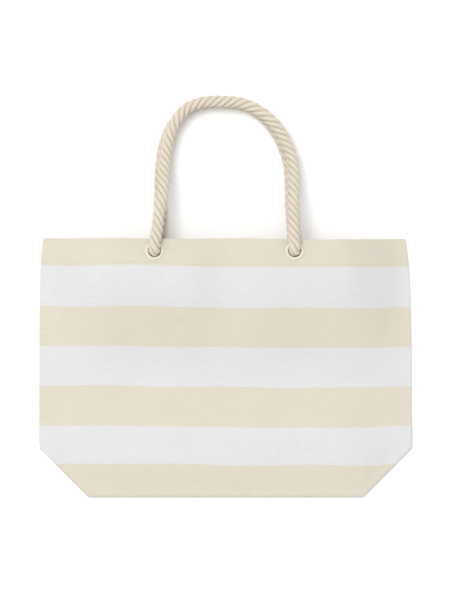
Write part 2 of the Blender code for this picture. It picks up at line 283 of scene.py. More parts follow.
def ripple(x, y, seed):
    # soft unevenness of cloth that lies loose, dying out at the sewn edges and the eyelets
    inside = ease((halfWidthAt(y) - np.abs(x)) / 0.03) * ease((aboveFold(x, y) - 0.004) / 0.03)
    w = wrinkles
    waves = waveSum(x, y, w["seed"] + seed, w["waves"], w["shortest"], w["longest"])
    return w["height"] * waves * inside * awayFromEyelets(x, y, 0.018, 0.05)


def backFace(x, y):
    # outer, lower face of the back panel
    rest = restHeight(y)
    return rest + (backFaceZ - rest) * mouthLift(x, y, bag["backSag"])


def frontFace(x, y):
    # outer, upper face of the front panel: resting height, crown, and the lift over the knots
    lift = mouthLift(x, y, bag["frontSag"])
    fromSide = ease((halfWidthAt(y) - np.abs(x) + 0.004) / bag["sideSlope"])
    fromFold = ease(aboveFold(x, y) / bag["foldSlope"])
    closed = restHeight(y) + bag["edgeStack"]
    smooth = closed + bag["crown"] * fromSide * fromFold * (1.0 - lift) + (frontFaceZ - closed) * lift
    inside = ease((halfWidthAt(y) - np.abs(x)) / 0.02) * ease((aboveFold(x, y) - 0.006) / 0.02)
    return smooth + ripple(x, y, 0) + creased(x, y) * inside * awayFromEyelets(x, y, 0.0135, 0.020)


faceShapes = {"front": frontFace, "back": backFace}


# camera: straight down on the bag, from far off

camera = {"center": (-0.0014, -0.0048), "seen": 0.8664, "distance": 4.0, "aimZ": 0.030}


def addCamera():
    # the focal length is sensor width * distance / height seen
    data = bpy.data.cameras.new("camera")
    made = bpy.data.objects.new("camera", data)
    made.location = (*camera["center"], camera["aimZ"] + camera["distance"])
    data.sensor_width = 36.0
    data.lens = data.sensor_width * camera["distance"] / camera["seen"]
    data.clip_start, data.clip_end = 0.1, 50.0
    bpy.context.scene.collection.objects.link(made)
    bpy.context.scene.camera = made


addCamera()
print("camera placed")


# materials


class Net:
    # short words for building a node tree: each call adds a node and returns its output
    def __init__(self, material):
        self.nodes, self.links = material.node_tree.nodes, material.node_tree.links

    def put(self, socket, value):
        # links an output to the socket, or sets the socket to a constant
        if hasattr(value, "is_linked"):
            self.links.new(value, socket)
        else:
            socket.default_value = value

    def math(self, how, *values):
        node = self.nodes.new("ShaderNodeMath")
        node.operation = how
        for socket, value in zip(node.inputs, values):
            self.put(socket, value)
        return node.outputs[0]

    def uv(self, name):
        # both coordinates of a piece's own UV map
        node = self.nodes.new("ShaderNodeUVMap")
        node.uv_map = name
        parts = self.nodes.new("ShaderNodeSeparateXYZ")
        self.links.new(node.outputs[0], parts.inputs[0])
        return parts.outputs[0], parts.outputs[1]

    def vector(self, x, y, z=0.0):
        node = self.nodes.new("ShaderNodeCombineXYZ")
        for socket, value in zip(node.inputs, (x, y, z)):
            self.put(socket, value)
        return node.outputs[0]

    def stretched(self, u, acrossScale, v, alongScale):
        # a place on the cloth or rope, scaled by its own factor in each direction
        return self.vector(self.math("MULTIPLY", u, acrossScale), self.math("MULTIPLY", v, alongScale))

    def vary(self, shade, pattern, amount):
        # shade + amount * (pattern - 1/2)
        return self.math("MULTIPLY_ADD", self.math("SUBTRACT", pattern, 0.5), amount, shade)

    def noise(self, vector, scale, detail=2.0, roughness=0.5):
        node = self.nodes.new("ShaderNodeTexNoise")
        node.inputs["Scale"].default_value = scale
        node.inputs["Detail"].default_value = detail
        node.inputs["Roughness"].default_value = roughness
        self.links.new(vector, node.inputs["Vector"])
        return node.outputs[0]

    def bands(self, factor, stops):
        # each stop's color from its place to the next one
        node = self.nodes.new("ShaderNodeValToRGB")
        node.color_ramp.interpolation = "CONSTANT"
        held = node.color_ramp.elements
        while len(held) < len(stops):
            held.new(0.5)
        for element, (place, color) in zip(held, stops):
            element.position, element.color = place, (*color, 1.0)
        self.links.new(factor, node.inputs[0])
        return node.outputs[0]

    def tint(self, color, factor):
        # color times a number
        node = self.nodes.new("ShaderNodeMix")
        node.data_type, node.blend_type = "RGBA", "MULTIPLY"
        node.inputs[0].default_value = 1.0
        grey = self.nodes.new("ShaderNodeCombineColor")
        for socket in grey.inputs:
            self.put(socket, factor)
        self.put(node.inputs[6], color)
        self.links.new(grey.outputs[0], node.inputs[7])
        return node.outputs[2]

    def mix(self, factor, a, b):
        # a where the factor is 0 and b where it is 1
        node = self.nodes.new("ShaderNodeMix")
        node.data_type = "RGBA"
        self.put(node.inputs[0], factor)
        self.put(node.inputs[6], a)
        self.put(node.inputs[7], b)
        return node.outputs[2]

    def bump(self, height, strength, distance):
        node = self.nodes.new("ShaderNodeBump")
        node.inputs["Strength"].default_value = strength
        node.inputs["Distance"].default_value = distance
        self.links.new(height, node.inputs["Height"])
        return node.outputs[0]

    def objectPlace(self):
        return self.nodes.new("ShaderNodeTexCoord").outputs["Object"]


def newMaterial(name):
    # a material, its net and the inputs of its shader
    made = bpy.data.materials.new(name)
    made.use_nodes = True
    return made, Net(made), made.node_tree.nodes["Principled BSDF"].inputs


canvas = {
    "cream": (0.640, 0.592, 0.492),
    "white": (0.655, 0.655, 0.655),
    # distances from the rim down the cloth at which the color changes, and the end of the cloth
    "stripeEdges": (0.0396, 0.0966, 0.1549, 0.2134, 0.2713, 0.3268, 0.3870),
    "seamV": 0.4450,
    "warpPitch": 0.00085,
    "weftPitch": 0.00105,
    "slub": 0.20,               # how far the uneven thickness of the weft yarns shows in the color
    "speckle": 0.12,
    "relief": 0.00035,
    "roughness": 0.92,
    "sheen": 0.12,
}


def canvasMaterial():
    # plain weave: yarns go over and under by a product of two sines, and the colour is darker where they
    # dip, as painted shade between the yarns; bands follow the weft
    made, net, shader = newMaterial("striped_canvas")
    u, v = net.uv("cloth")
    span = canvas["seamV"] + 0.02
    stops, color = [(0.0, canvas["cream"])], "cream"
    for edge in canvas["stripeEdges"]:
        color = "white" if color == "cream" else "cream"
        stops.append((edge / span, canvas[color]))
    wander = net.math("MULTIPLY", net.noise(net.vector(u, 0.0), 900.0), 0.0004)
    bands = net.bands(net.math("DIVIDE", net.math("ADD", v, wander), span), stops)

    drift = net.math("MULTIPLY", net.noise(net.vector(u, v), 35.0), 0.0012)
    warpTurn = net.math("MULTIPLY", net.math("ADD", u, drift), math.pi / canvas["warpPitch"])
    weftTurn = net.math("MULTIPLY", net.math("ADD", v, drift), math.pi / canvas["weftPitch"])
    weave = net.math("MULTIPLY", net.math("SINE", warpTurn), net.math("SINE", weftTurn))
    slubV = net.noise(net.stretched(u, 55.0, v, 900.0), 1.0, 3.0, 0.6)
    slubU = net.noise(net.stretched(u, 950.0, v, 60.0), 1.0, 2.0)
    speckle = net.noise(net.vector(u, v), 700.0, 2.0, 0.7)
    cloudy = net.noise(net.vector(u, v), 12.0, 2.0)

    # painted shade between the yarns: the weave darkens the colour where the yarns dip
    shade = net.math("MULTIPLY_ADD", weave, 0.045, 0.955)
    shade = net.vary(net.vary(shade, slubV, canvas["slub"]), slubU, 0.06)
    shade = net.vary(net.vary(shade, speckle, canvas["speckle"]), cloudy, 0.05)
    net.put(shader["Base Color"], net.tint(bands, shade))

    height = net.math("MULTIPLY_ADD", weave, 0.5, net.math("MULTIPLY", slubV, 1.1))
    height = net.math("MULTIPLY_ADD", slubU, 0.4, height)
    net.put(shader["Normal"], net.bump(height, 0.55, canvas["relief"]))
    shader["Roughness"].default_value = canvas["roughness"]
    shader["Specular IOR Level"].default_value = 0.25
    shader["Sheen Weight"].default_value = canvas["sheen"]
    shader["Sheen Roughness"].default_value = 0.5
    return made


rope = {
    "radius": 0.0085,
    "strands": 4,
    "lay": 0.046,
    "strandShare": 0.46,
    "centerShare": 0.54,
    "flatten": 1.22,
    "around": 22,               # points round each strand
    "step": 0.0013,
    "yarns": 4,                 # yarns seen on each strand, their height, and their turns in one lay
    "yarnRidge": 0.00022,
    "yarnTurns": 0.55,
    "wander": 0.16,             # how far the lay runs ahead and behind, in radians
    "swell": 0.022,
    "color": (0.675, 0.606, 0.504),
    "shadeColor": (0.520, 0.435, 0.335),
    "relief": 0.0005,
    "roughness": 0.88,
    "sheen": 0.2,
}


def ropeMaterial():
    # yarns run across each strand at a slant; the grooves between the strands are painted darker and warmer,
    # and the dips between the yarns a little darker, as painted shade
    made, net, shader = newMaterial("cotton_rope")
    u, v = net.uv("lay")
    pitch = rope["lay"] / rope["yarnTurns"] / rope["yarns"]
    slant = net.math("ADD", net.math("MULTIPLY", u, float(rope["yarns"])), net.math("DIVIDE", v, pitch))
    wobble = net.noise(net.stretched(u, 2.0, v, 120.0), 1.0, 2.0)
    wound = net.math("MULTIPLY_ADD", wobble, 0.3, slant)
    yarns = net.math("COSINE", net.math("MULTIPLY", wound, 2 * math.pi))
    across = net.math("SUBTRACT", slant, net.math("MULTIPLY", u, 0.5))
    fibre = net.noise(net.stretched(across, 9.0, v, 160.0), 1.0, 4.0, 0.65)
    fine = net.noise(net.objectPlace(), 900.0, 2.0, 0.6)
    groove = net.nodes.new("ShaderNodeAttribute")
    groove.attribute_name = "groove"
    # painted shade between the yarns: the colour is a little darker where the yarns dip
    shade = net.math("MULTIPLY_ADD", yarns, 0.050, 0.97)
    shade = net.vary(net.vary(shade, fibre, 0.30), fine, 0.12)
    # painted shade in the grooves: the colour is mixed toward shadeColor by the depth in the groove
    color = net.mix(groove.outputs["Fac"], (*rope["color"], 1.0), (*rope["shadeColor"], 1.0))
    net.put(shader["Base Color"], net.tint(color, shade))
    height = net.math("MULTIPLY_ADD", yarns, 0.5, net.math("MULTIPLY", fibre, 1.2))
    net.put(shader["Normal"], net.bump(height, 0.6, rope["relief"]))
    shader["Roughness"].default_value = rope["roughness"]
    shader["Specular IOR Level"].default_value = 0.3
    shader["Sheen Weight"].default_value = rope["sheen"]
    return made


lacquer = {"color": (0.665, 0.620, 0.525), "roughness": 0.42, "rubbed": 0.25, "coat": 0.15}


def lacquerMaterial():
    # even lacquer with a faint orange-peel and slightly duller patches where it has been rubbed
    made, net, shader = newMaterial("eyelet_lacquer")
    place = net.objectPlace()
    rubbed = net.noise(place, 240.0, 3.0)
    dull = lacquer["roughness"] - 0.12
    shade = net.math("MULTIPLY_ADD", rubbed, 0.10, 0.95)
    net.put(shader["Base Color"], net.tint((*lacquer["color"], 1.0), shade))
    net.put(shader["Roughness"], net.math("MULTIPLY_ADD", rubbed, lacquer["rubbed"], dull))
    net.put(shader["Normal"], net.bump(net.noise(place, 1400.0, 1.0), 0.12, 0.0001))
    shader["Coat Weight"].default_value = lacquer["coat"]
    shader["Coat Roughness"].default_value = 0.15
    return made


thread = {"color": (0.66, 0.60, 0.49), "fuzz": 0.2, "roughness": 0.8}


def threadMaterial():
    # matt thread with fine fuzz: color times (0.9 + fuzz * noise)
    made, net, shader = newMaterial("cotton_thread")
    fuzz = net.noise(net.objectPlace(), 2500.0, 2.0)
    shade = net.math("MULTIPLY_ADD", fuzz, thread["fuzz"], 0.9)
    net.put(shader["Base Color"], net.tint((*thread["color"], 1.0), shade))
    net.put(shader["Normal"], net.bump(fuzz, 0.3, 0.0002))
    shader["Roughness"].default_value = thread["roughness"]
    return made


canvasFinish, ropeFinish = canvasMaterial(), ropeMaterial()
lacquerFinish, threadFinish = lacquerMaterial(), threadMaterial()
print("materials made")


# the two handles: one length of four-strand rope each
handle = {
    "bend": 0.0096,             # radius of the turn where the rope leaves its eyelet
    "inBarrel": 0.0035,
    "barrelPull": 0.0003,
    "levelUntil": 0.022,        # the front handle comes down from here above the eyelets
    "downBy": 0.235,            # to here, where it lies on the back handle
    "axisRise": 0.0108,         # swing axis over the face of the bag
    "blendFrom": -0.004,        # ends of the stretch of rope by the eyelets that a swing of the handle would bend
    "blendTo": 0.010,
    "phase": {"front": 0.6, "back": 1.7},
    # middle of the rope from the left eyelet to the right one (x, y)
    "front": (
        (-0.1011, 0.0818), (-0.0992, 0.0947), (-0.0966, 0.1150), (-0.0931, 0.1352),
        (-0.0902, 0.1554), (-0.0887, 0.1857), (-0.0866, 0.2088), (-0.0830, 0.2262), (-0.0787, 0.2406),
        (-0.0729, 0.2529), (-0.0650, 0.2644), (-0.0549, 0.2731), (-0.0419, 0.2789), (-0.0289, 0.2818),
        (-0.0159, 0.2824), (0.0000, 0.2820), (0.0159, 0.2810), (0.0318, 0.2770), (0.0462, 0.2695),
        (0.0606, 0.2594), (0.0722, 0.2471), (0.0809, 0.2348), (0.0874, 0.2218), (0.0924, 0.2088),
        (0.0953, 0.1973), (0.0968, 0.1727), (0.0960, 0.1308), (0.0966, 0.1063), (0.0979, 0.0818),
    ),
    "back": (
        (-0.0990, 0.0840), (-0.0955, 0.1010), (-0.0950, 0.1180), (-0.0962, 0.1360),
        (-0.0962, 0.1560), (-0.0952, 0.1860), (-0.0922, 0.2090), (-0.0880, 0.2270), (-0.0822, 0.2410),
        (-0.0745, 0.2535), (-0.0652, 0.2640), (-0.0549, 0.2718), (-0.0419, 0.2778), (-0.0289, 0.2808),
        (-0.0159, 0.2817), (0.0000, 0.2814), (0.0159, 0.2800), (0.0310, 0.2757), (0.0446, 0.2680),
        (0.0576, 0.2574), (0.0680, 0.2450), (0.0760, 0.2325), (0.0822, 0.2200), (0.0870, 0.2070),
        (0.0903, 0.1950), (0.0930, 0.1720), (0.0945, 0.1310), (0.0962, 0.1060), (0.0979, 0.0820),
    ),
}
axisZ = {"front": frontFaceZ + handle["axisRise"], "back": backFaceZ - handle["axisRise"]}
archZ = axisZ["back"] + 2 * rope["radius"] + 0.0004


def smoothLine(points, step):
    # a cubic Hermite curve through the points, with slopes from the chords on both sides, cut evenly
    p = np.asarray(points, float)
    chord = np.linalg.norm(np.diff(p, axis=0), axis=1)
    slope = np.diff(p, axis=0) / chord[:, None]
    inner = (slope[:-1] * chord[1:, None] + slope[1:] * chord[:-1, None]) / (chord[:-1] + chord[1:])[:, None]
    m = np.concatenate([slope[:1], inner, slope[-1:]])
    s = np.linspace(0.0, 1.0, 16, endpoint=False)[None, :, None]
    a, b, h = p[:-1, None], p[1:, None], chord[:, None, None]
    line = ((2 * s**3 - 3 * s**2 + 1) * a + (s**3 - 2 * s**2 + s) * h * m[:-1, None]
            + (3 * s**2 - 2 * s**3) * b + (s**3 - s**2) * h * m[1:, None])
    line = np.concatenate([line.reshape(-1, 3), p[-1:]])
    along = np.concatenate([[0.0], np.cumsum(np.linalg.norm(np.diff(line, axis=0), axis=1))])
    wanted = np.linspace(0.0, along[-1], max(3, int(round(along[-1] / step)) + 1))
    return np.stack([np.interp(wanted, along, line[:, k]) for k in range(3)], axis=1), wanted


def carriedFrames(line, first):
    # two directions across the line at each point: the first one less its part along the line, step by step
    tangent = unit(np.gradient(line, axis=0))
    across = np.zeros_like(line)
    held = np.asarray(first, float)
    for i, direction in enumerate(tangent):
        held = unit(held - direction * (held @ direction))
        across[i] = held
    return across, np.cross(tangent, across)


def ropeSection():
    # outline of a rope of radius 1 seen end-on: an arc for each strand, flattened along the outline
    n, around = rope["strands"], rope["around"]
    half = np.pi / n
    t = np.linspace(-1.0, 1.0, around, endpoint=False)
    within = half * np.sin(t * np.pi / 2)
    center, strand = rope["centerShare"], rope["strandShare"]
    sideways = np.sin(within) / rope["flatten"]
    edge = center * np.cos(within) + np.sqrt(np.maximum(strand**2 - (center * sideways)**2, 0.0))
    angles = (np.arange(n)[:, None] * 2 * half + within[None, :]).ravel()
    # how deep each outline point lies in the groove between strands; the material paints shade by it
    depth = 1.0 - (edge - edge.min()) / (edge.max() - edge.min())
    share = (t + 1.0) / 2.0
    return angles, np.tile(edge, n), np.tile(depth**2.2, n), share


def ropeMesh(name, line, along, radius, first=(1.0, 0.0, 0.0), phase=0.0):
    # the strand outline, turned once for each lay and carried along the line, times the radius there
    angles, edge, depth, share = ropeSection()
    across, other = carriedFrames(line, first)
    wander = rope["wander"] * waveSum(along, 0.0 * along, 17, 5, 0.05, 0.22)
    turn = angles[None, :] - 2 * np.pi * along[:, None] / rope["lay"] + phase + wander[:, None]
    share = np.tile(share, rope["strands"])[None, :]
    number = np.repeat(np.arange(rope["strands"]), rope["around"])[None, :]
    # every strand swells and shrinks a little on its own, and its yarns stand out as ridges
    swell = 1.0 + rope["swell"] * waveSum(along[:, None] + 0.31 * number, 0.0 * share, 5, 5, 0.012, 0.060)
    yarnTurn = share + rope["yarnTurns"] * along[:, None] / rope["lay"]
    ridge = np.cos(2 * np.pi * rope["yarns"] * yarnTurn) * np.sin(np.pi * share)
    reach = edge[None, :] * radius[:, None] * swell + rope["yarnRidge"] * ridge
    points = (line[:, None] + across[:, None] * (np.cos(turn) * reach)[..., None]
              + other[:, None] * (np.sin(turn) * reach)[..., None])
    points[..., 2] = np.maximum(points[..., 2], 0.0)    # pressed flat where it rests on the floor
    rows, columns = turn.shape
    quads = quadGrid(rows, columns, wrap=True)
    strandU = share[0]
    nextU = np.where(np.roll(strandU, -1) > strandU, np.roll(strandU, -1), 1.0)
    u = np.stack([strandU, nextU, nextU, strandU], axis=-1)[None].repeat(rows - 1, 0)
    v = np.stack([along[:-1], along[:-1], along[1:], along[1:]], axis=-1)[:, None].repeat(columns, 1)
    uv = np.stack([u + number[..., None], v + number[..., None] * 0.37], axis=-1).reshape(-1, 2)
    # close both ends with a fan to the middle
    ends = np.array([line[0], line[-1]])
    points = np.concatenate([points.reshape(-1, 3), ends])
    ring = np.arange(columns)
    after = (ring + 1) % columns
    last = (rows - 1) * columns
    lowFan = np.stack([ring, np.full(columns, rows * columns), after], axis=-1)
    highFan = np.stack([last + ring, last + after, np.full(columns, rows * columns + 1)], axis=-1)
    made = meshFrom(name, points, quads[:, ::-1], uv.reshape(-1, 4, 2)[:, ::-1].reshape(-1, 2), "lay")
    addFaces(made, np.concatenate([lowFan, highFan])[:, ::-1])
    # groove depth at each point, which the rope's material turns into painted shade; the middles of both
    # ends get full painted shade
    setPointValue(made, "groove", np.concatenate([np.broadcast_to(depth, turn.shape).ravel(), [1.0, 1.0]]))
    return made


def eyeletTurn(x, face):
    # straight out of the barrel, then a quarter turn to lie along the bag
    outward, faceZ = outwardOf[face], faceZOf[face]
    bend, top = handle["bend"], axisZ[face]
    y = eyeletY + handle["barrelPull"]
    angles = np.linspace(0.0, np.pi / 2, 7)
    ys = np.concatenate([[y], y + bend * (1.0 - np.cos(angles))])
    zs = np.concatenate([[faceZ - outward * handle["inBarrel"]],
                         top - outward * bend * (1.0 - np.sin(angles))])
    return np.stack([np.full(ys.shape, x), ys, zs], axis=1)


def handleLine(face):
    # both turns out of the eyelets joined by the route, whose height eases down on the front handle
    route = np.array(handle[face])
    if face == "front":
        start = eyeletY + handle["levelUntil"]
        down = ease((route[:, 1] - start) / (handle["downBy"] - start))
        z = axisZ["front"] + (archZ - axisZ["front"]) * down
    else:
        z = np.full(len(route), axisZ["back"])
    middle = np.concatenate([route, z[:, None]], axis=1)
    left, right = eyeletTurn(eyeletX[0], face), eyeletTurn(eyeletX[1], face)[::-1]
    keep = (np.abs(middle[:, 1] - eyeletY) > handle["bend"] + 0.004)
    return smoothLine(np.concatenate([left, middle[keep], right]), rope["step"])


def addHandle(face):
    # one rope along the handle's line, a little narrower at both ends; it bends where it leaves the eyelets
    line, along = handleLine(face)
    narrow = 1.0 - 0.02 * np.exp(-np.minimum(along, along[-1] - along) / 0.006)
    made = ropeMesh(face + "_handle", line, along, rope["radius"] * narrow,
                    phase=handle["phase"][face])
    made.data.materials.append(ropeFinish)
    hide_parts(face + "_handle_rope")
    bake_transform(made)


for face in ("front", "back"):
    addHandle(face)
print("handles twisted")


# canvas panels, each one cut of cloth folded along one path
panel = {
    "across": 108,              # columns of the base, and of each corner
    "corner": 20,
    "low": 26,                  # rows of the lower face
    "sideAllowance": 0.009,
    "endAllowance": 0.009,
    "hemAir": 0.0002,
    "hemSeam": 0.0362,          # distance of the hem's stitching from the rim
    "pucker": 0.00042,
    "seamDip": 0.0007,          # groove of the corner seams
    "holeRadius": 0.0104,
    "underZ": {"front": 0.0005, "back": 0.0033},    # middle of the cloth in each half of the base
    "lean": (0.0013, 0.0014),   # how far the bands drop across the middle, and rise again at the right
    # the rim is not quite straight: (x, height)
    "rimLine": (
        (-0.262, 0.0014), (-0.224, 0.0004), (-0.140, 0.0), (-0.112, -0.0009), (-0.050, -0.0010),
        (-0.018, -0.0002), (0.035, -0.0002), (0.062, -0.0010), (0.095, -0.0012), (0.126, -0.0024),
        (0.170, -0.0016), (0.220, -0.0010), (0.250, 0.0), (0.262, 0.0002),
    ),
}


def panelColumns():
    # x of each column where the bag is widest, closer together beside the corner seams
    middle = np.linspace(-baseHalf, baseHalf, panel["across"])
    side = np.linspace(baseHalf, bag["halfWidth"], panel["corner"])
    close = baseHalf + np.array([-0.0016, -0.0010, -0.0005, 0.0005, 0.0010, 0.0016])
    return np.unique(np.round(np.concatenate([middle, side, -side, close, -close]), 6)) / bag["halfWidth"]


def rimShift(x):
    # the places of the rim's line joined by smooth steps
    places, heights = np.array(panel["rimLine"]).T
    k = np.clip(np.searchsorted(places, x) - 1, 0, len(places) - 2)
    share = ease((x - places[k]) / (places[k + 1] - places[k]))
    return heights[k] + (heights[k + 1] - heights[k]) * share


def skewShift(x, y):
    # the bands run a little askew: higher at the left, lower right of the middle, level at rim and fold
    inner = ease((rimY - y) / 0.025) * ease((aboveFold(x, y) - 0.006) / 0.030)
    drop, rise = panel["lean"]
    lean = rise * ease((x - 0.200) / 0.060) - drop * np.tanh((x + 0.050) / 0.060)
    return inner * (lean + 0.0008 * waveSum(x, y, 51, 4, 0.12, 0.30))


def panelGrid(faceHeight, inward, underZ):
    # rows along the cloth, from the hem's raw edge to the end of the base half, with its cloth coordinates:
    # faces are heights over x and y, turns are half circles, and the base half is flat
    u = panelColumns()
    half = bag["cloth"] / 2
    layer = bag["cloth"] + panel["hemAir"]
    clothX = u * bag["halfWidth"]
    foldAt = bottomY + np.maximum(0.0, np.abs(clothX) - baseHalf)
    blocks = []

    def block(y, offset, v, width=1.0):
        y, offset, v = (np.broadcast_to(a, (len(y), len(u))) for a in (y, offset, v))
        x = u * np.where(u < 0, sideAt(y, -1), sideAt(y, 1)) * width
        shifted = y + rimShift(x) * np.exp(-(rimY - y) / 0.03) + skewShift(x, y)
        z = faceHeight(x, y) + inward * (half + offset)
        blocks.append((x, shifted, z, clothX + 0 * v, v))

    turn = layer / 2
    turnY = rimY - half - turn
    hemY = np.linspace(rimY - bag["hemDepth"], turnY, 14)[:-1, None]
    block(hemY, layer, -(rimY - hemY), 0.994)
    angle = np.linspace(0.0, np.pi, 9)[:, None]
    block(turnY + turn * np.sin(angle), turn * (1 + np.cos(angle)), -turn * np.cos(angle), 0.998)
    v = np.concatenate([np.linspace(0.0012, 0.0310, 10), np.linspace(0.0322, 0.0405, 12),
                        np.linspace(0.0430, 0.2800, 72)])[:, None]
    seamShare = np.exp(-((v - panel["hemSeam"]) / 0.0014) ** 2)
    block(turnY - v, panel["pucker"] * seamShare, v + turn)
    part = np.linspace(0.0, 1.0, panel["low"])[1:, None]
    stack = bag["flapLift"] + bag["edgeStack"] - bag["cloth"]
    center = foldAt + stack / 2 + half
    lowY = turnY - v[-1] + (center - turnY + v[-1]) * part
    block(lowY, 0.0, rimY - lowY)

    lastX, lastZ = blocks[-1][0][-1], blocks[-1][2][-1]
    radius = (lastZ - underZ) / 2
    angle = np.linspace(0.0, np.pi, 11)[1:, None]
    y = center - radius * np.sin(angle)
    z = underZ + radius * (1 + np.cos(angle))
    foldV = rimY - center + stack * angle / np.pi
    blocks.append((lastX + 0 * y, y, z, clothX + 0 * y, foldV))
    end = np.maximum(flapY, center + 0.0025)
    part = np.linspace(0.0, 1.0, 24)[1:, None]
    y = center + (end - center) * part
    dip = panel["seamDip"] * np.exp(-((np.abs(lastX) - baseHalf) / 0.0009) ** 2)
    underV = foldV[-1] + (y - center)
    blocks.append((lastX + 0 * y, y, underZ + dip + 0 * y, clothX + 0 * y, underV))
    # the end of the base half turns in as the bottom seam's allowance
    rise = -0.00048 * inward
    angle = np.linspace(0.0, np.pi, 6)[1:, None]
    y = end + abs(rise) * np.sin(angle)
    z = underZ + rise * (1 - np.cos(angle)) + 0 * y
    blocks.append((lastX + 0 * y, y, z, clothX + 0 * y, underV[-1] + 0.0005 * angle))
    back = panel["endAllowance"] * ease((1.0 - np.abs(u)) / 0.10) + 0.0006
    y = end - back * np.linspace(0.0, 1.0, 4)[1:, None]
    endV = underV[-1] + 0.0015
    blocks.append((lastX + 0 * y, y, underZ + 2 * rise + 0 * y, clothX + 0 * y, endV + end - y))
    x, y, z, clothU, clothV = (np.concatenate([b[k] for b in blocks]) for k in range(5))
    counts = [len(b[0]) for b in blocks]
    return x, y, z, clothU, clothV, counts


def addSideEdges(x, y, z, clothU, clothV, counts, inward):
    # both edge columns turn in over a half circle and run back inside as the seam's allowance
    hemRows = counts[0] + counts[1]
    frontRows = counts[2] + counts[3]
    rows = np.arange(len(x))
    onFront = (rows >= hemRows) & (rows < hemRows + frontRows)
    late = ease((hemRows + frontRows - rows) / 12.0) * ease((rows - hemRows) / 14.0)
    share = np.where(onFront, late, 0.0)
    radius = 0.00012 + share * ((bag["edgeStack"] - bag["cloth"] - 0.001) / 4 - 0.00012)
    allowance = 0.0004 + share * panel["sideAllowance"]
    # on the underside the inside of the bag is the other way
    under = rows >= hemRows + frontRows + counts[4] // 2
    toInside = np.where(under, -inward, inward)
    angle = np.linspace(0.0, np.pi, 6)[1:]
    run = np.linspace(0.0, 1.0, 4)[1:]
    outX = np.concatenate([radius[:, None] * np.sin(angle), -allowance[:, None] * run], axis=1)
    outZ = np.concatenate([radius[:, None] * (1 - np.cos(angle)),
                           2 * radius[:, None] * np.ones(len(run))], axis=1) * toInside[:, None]
    outU = np.concatenate([radius[:, None] * angle,
                           radius[:, None] * np.pi + allowance[:, None] * run], axis=1)
    parts = []
    for sign, column in ((-1.0, 0), (1.0, -1)):
        edge = [a[:, [column]] for a in (x, y, z, clothU, clothV)]
        made = [edge[0] + sign * outX, edge[1] + 0 * outX, edge[2] + outZ,
                edge[3] + sign * outU, edge[4] + 0 * outX]
        parts.append([a[:, ::-1] for a in made] if sign < 0 else made)
    return [np.concatenate([parts[0][k], a, parts[1][k]], axis=1)
            for k, a in enumerate((x, y, z, clothU, clothV))]


def punchHoles(points, quads, topCount):
    # drops the quads inside each eyelet's hole and moves the cut edge onto a true circle
    points = points.copy()
    inside = np.zeros(len(points), bool)
    for eyeX in eyeletX:
        toX, toY = points[:, 0] - eyeX, points[:, 1] - eyeletY
        distance = np.hypot(toX, toY)
        near = (distance < panel["holeRadius"]) & (np.arange(len(points)) < topCount)
        inside |= near
        grow = panel["holeRadius"] / np.maximum(distance, 1e-6)
        points[near, 0] = (eyeX + toX * grow)[near]
        points[near, 1] = (eyeletY + toY * grow)[near]
    keep = ~inside[quads].all(axis=1)
    return points, keep


def addPanel(face):
    # the panel's grid with both edges turned in, its cloth coordinates, the eyelets' holes and its thickness
    inward, heights = -outwardOf[face], faceShapes[face]
    x, y, z, clothU, clothV, counts = panelGrid(heights, inward, panel["underZ"][face])
    flapStart = sum(counts[:4])
    x, y, z, clothU, clothV = addSideEdges(x, y, z, clothU, clothV, counts, inward)
    rows, columns = x.shape
    # beyond the corner seam the cloth of the flap has been turned over the slanted fold
    cornerU, cornerV = clothU.copy(), clothV.copy()
    under = slice(flapStart, rows)
    past = np.abs(clothU[under]) - baseHalf
    cornerV[under] = np.minimum(clothV[under], rimY - bottomY - past)
    cornerU[under] = np.sign(clothU[under]) * (baseHalf + past + clothV[under] - cornerV[under])
    quads = quadGrid(rows, columns)
    atRow, atColumn = quads // columns, quads % columns
    middleU = clothU[atRow[:, :1], atColumn].mean(axis=1)
    outside = (np.abs(middleU) > baseHalf)[:, None]
    uv = np.stack([np.where(outside, cornerU[atRow, atColumn], clothU[atRow, atColumn]),
                   np.where(outside, cornerV[atRow, atColumn], clothV[atRow, atColumn])], axis=-1)
    points = np.stack([x, y, z], axis=-1).reshape(-1, 3)
    points, keep = punchHoles(points, quads, flapStart * columns)
    if face == "back":
        quads, uv = quads[:, ::-1], uv[:, ::-1]
    used, renumbered = np.unique(quads[keep], return_inverse=True)
    made = meshFrom(face + "_canvas", points[used], renumbered.reshape(-1, 4), uv[keep].reshape(-1, 2))
    thicken = made.modifiers.new("Thickness", "SOLIDIFY")
    thicken.thickness, thicken.offset = bag["cloth"], 0.0
    return dress(made, canvasFinish, "bag")


panels = {face: addPanel(face) for face in ("front", "back")}
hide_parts("front_panel", "left_side_seam", "right_side_seam", "bottom_seam",
            "left_corner_seam", "right_corner_seam")
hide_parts("back_panel")
print("canvas cut and folded")


# stitching along the hem
stitch = {"pitch": 0.0033, "length": 0.0027, "radius": 0.00036, "sink": -0.00005, "wander": 0.00006,
          "sides": 6, "rings": 5}


def capsule():
    # a short round-ended bar along X: the radius at t from -1 to 1 is the root of 1 - |t|^3
    sides, rings = stitch["sides"], stitch["rings"]
    t = np.linspace(-1.0, 1.0, rings)
    reach = np.sqrt(np.clip(1.0 - np.abs(t) ** 3, 0.04, 1.0))
    a = np.arange(sides) * 2 * np.pi / sides
    ring = np.stack([np.repeat(t * stitch["length"] / 2, sides),
                     (reach[:, None] * np.cos(a)).ravel() * stitch["radius"],
                     (reach[:, None] * np.sin(a)).ravel() * stitch["radius"]], axis=1)
    return ring, quadGrid(rings, sides, wrap=True), np.arange(sides), (rings - 1) * sides + np.arange(sides)


